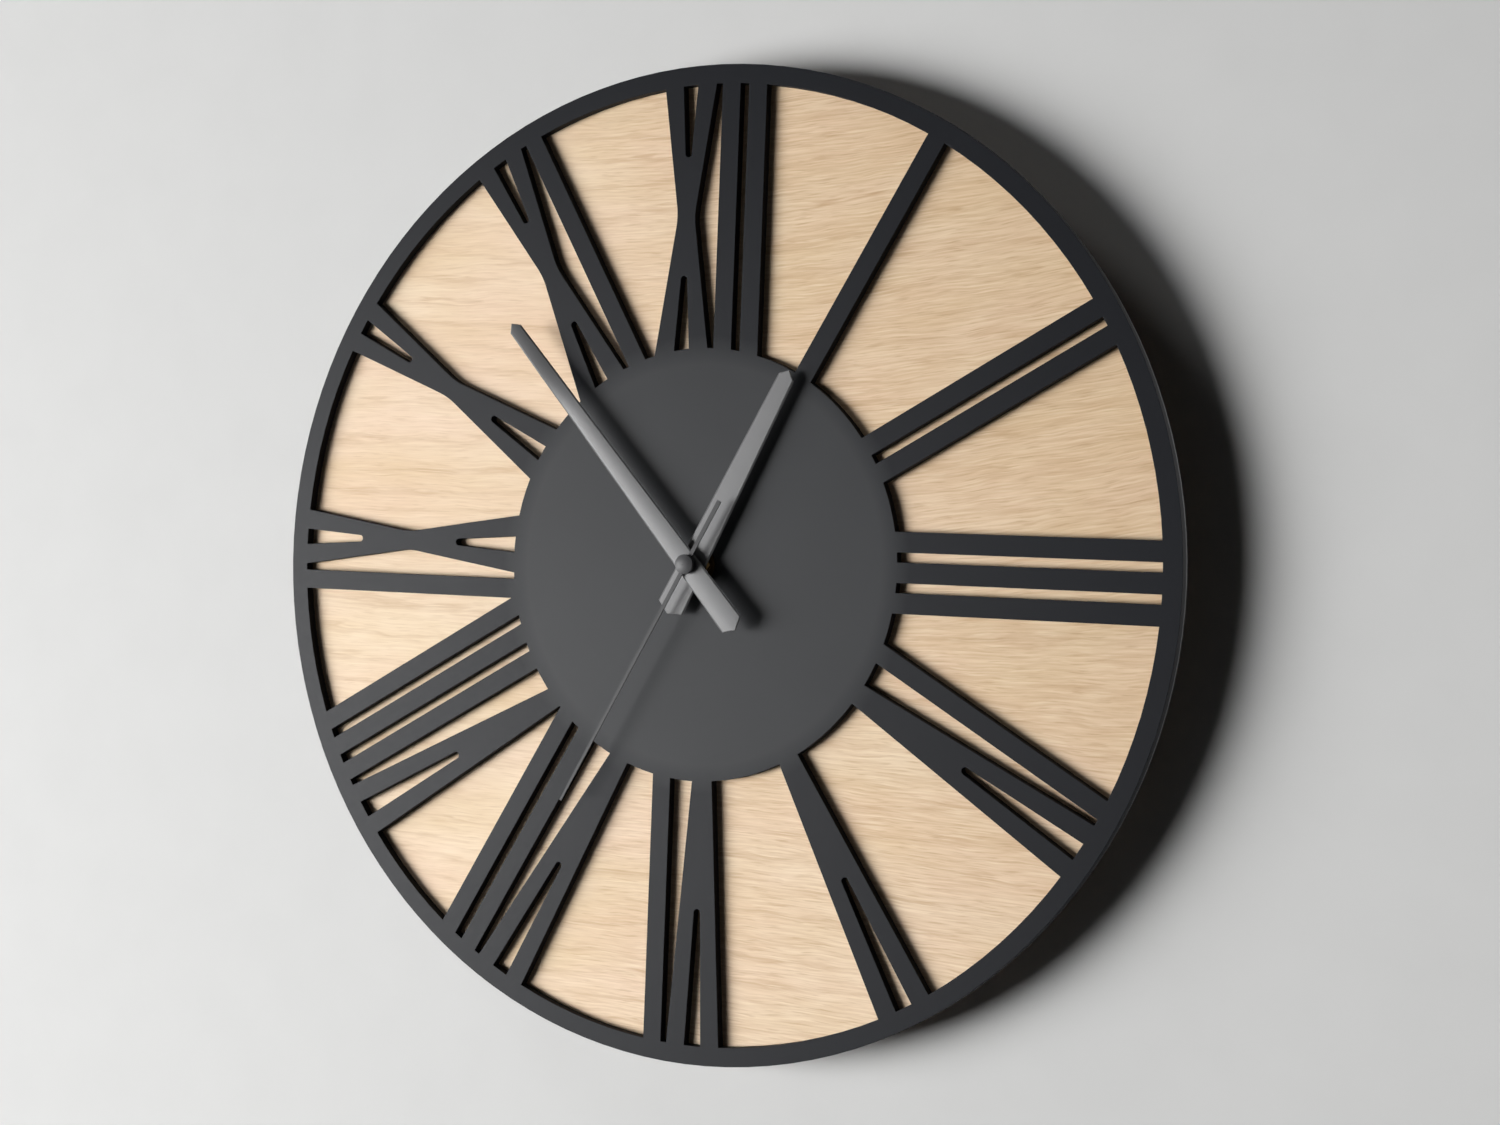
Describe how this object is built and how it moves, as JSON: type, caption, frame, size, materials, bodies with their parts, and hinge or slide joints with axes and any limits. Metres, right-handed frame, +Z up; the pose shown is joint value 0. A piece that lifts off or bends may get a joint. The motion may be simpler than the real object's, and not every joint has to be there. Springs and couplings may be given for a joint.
{
  "type": "wall clock",
  "caption": "Round wall clock with a pierced Roman dial over an oak board, three hands and a quartz movement with its hanger and cell.",
  "frame": {"origin": "on the wall, where the axis of the hands meets the outer face of the movement's rear cover", "axes": "+Y into the wall, so the dial faces -Y; +Z up towards the twelve, +X towards the three"},
  "size_m": [0.3999, 0.0392, 0.4],
  "materials": {
    "black_lacquer": "satin black lacquer on MDF",
    "oak": "matt lacquered oak veneer with a level grain",
    "grey_hand": "satin grey lacquer on stamped sheet",
    "dark_cap": "dark grey lacquer, domed",
    "brass": "turned, bare",
    "black_rubber": "matt",
    "zinc_steel": "zinc plated sheet",
    "black_plastic": "moulded, fine grained",
    "ivory_plastic": "moulded acetal",
    "cell_jacket": "plain printed sleeve over a steel can",
    "nickel": "nickel plated spring sheet",
    "board_brown": "phenolic paper laminate",
    "black_resin": "drop of epoxy",
    "can_metal": "drawn can",
    "soft_iron": "annealed sheet",
    "copper_wire": "enamelled copper wire, close wound",
    "magnet": "sintered ring magnet"
  },
  "bodies": {
    "clock": {"front_plate": "black_lacquer", "oak_board": "oak", "centre_nut": "brass", "brass_washer": "brass", "rubber_gasket": "black_rubber", "hanger": "zinc_steel", "wall_spacers": "black_rubber", "case_front": "black_plastic", "case_cover": "black_plastic", "centre_bush": "brass", "train_plate": "ivory_plastic", "battery": "cell_jacket", "contact_plus": "nickel", "contact_minus": "nickel", "circuit_board": "board_brown", "chip": "black_resin", "crystal": "can_metal", "stator": "soft_iron", "coil_core": "soft_iron", "coil_bobbin": "ivory_plastic", "coil_winding": "copper_wire"},
    "second_group": {"second_wheel": "ivory_plastic", "second_hand": "grey_hand", "hand_cap": "dark_cap"},
    "minute_group": {"minute_tube": "brass", "minute_hand": "grey_hand"},
    "hour_group": {"hour_wheel": "ivory_plastic", "hour_hand": "grey_hand"},
    "minute_wheel": {"minute_wheel": "ivory_plastic"},
    "setting_knob": {"setting_knob": "black_plastic"},
    "rotor": {"rotor_magnet": "magnet", "rotor_pinion": "ivory_plastic"},
    "intermediate_wheel": {"intermediate_wheel": "ivory_plastic"},
    "third_wheel": {"third_wheel": "ivory_plastic"},
    "centre_wheel": {"centre_wheel": "ivory_plastic"}
  },
  "joints": [
    {"name": "second_spin", "type": "hinge", "parent": "clock", "child": "second_group", "pos_m": [0, -0.03, 0], "axis": [0, 1, 0], "continuous": true},
    {"name": "rotor_spin", "type": "hinge", "parent": "clock", "child": "rotor", "pos_m": [-0.01217, -0.005, 0.01123], "axis": [0, 1, 0], "continuous": true},
    {"name": "intermediate_spin", "type": "hinge", "parent": "clock", "child": "intermediate_wheel", "pos_m": [-0.01015, -0.005, 0.00369], "axis": [0, 1, 0], "continuous": true},
    {"name": "third_spin", "type": "hinge", "parent": "clock", "child": "third_wheel", "pos_m": [0.0096, -0.007, 0.0035], "axis": [0, 1, 0], "continuous": true},
    {"name": "centre_spin", "type": "hinge", "parent": "clock", "child": "centre_wheel", "pos_m": [0, -0.008, 0], "axis": [0, 1, 0], "continuous": true},
    {"name": "minute_spin", "type": "hinge", "parent": "clock", "child": "minute_group", "pos_m": [0, -0.03, 0], "axis": [0, 1, 0], "continuous": true},
    {"name": "minute_wheel_spin", "type": "hinge", "parent": "clock", "child": "minute_wheel", "pos_m": [0.0048, -0.011, 0.00831], "axis": [0, 1, 0], "continuous": true},
    {"name": "hour_spin", "type": "hinge", "parent": "clock", "child": "hour_group", "pos_m": [0, -0.025, 0], "axis": [0, 1, 0], "continuous": true},
    {"name": "knob_spin", "type": "hinge", "parent": "clock", "child": "setting_knob", "pos_m": [0.01215, -0.006, 0.01448], "axis": [0, 1, 0], "continuous": true}
  ],
  "couplings": [
    {"joint": "rotor_spin", "follows": "second_spin", "ratio": 30},
    {"joint": "intermediate_spin", "follows": "second_spin", "ratio": -5},
    {"joint": "third_spin", "follows": "second_spin", "ratio": -0.13333},
    {"joint": "centre_spin", "follows": "second_spin", "ratio": 0.016667},
    {"joint": "minute_wheel_spin", "follows": "minute_spin", "ratio": -0.33333},
    {"joint": "hour_spin", "follows": "minute_spin", "ratio": 0.083333},
    {"joint": "knob_spin", "follows": "minute_spin", "ratio": 1}
  ]
}
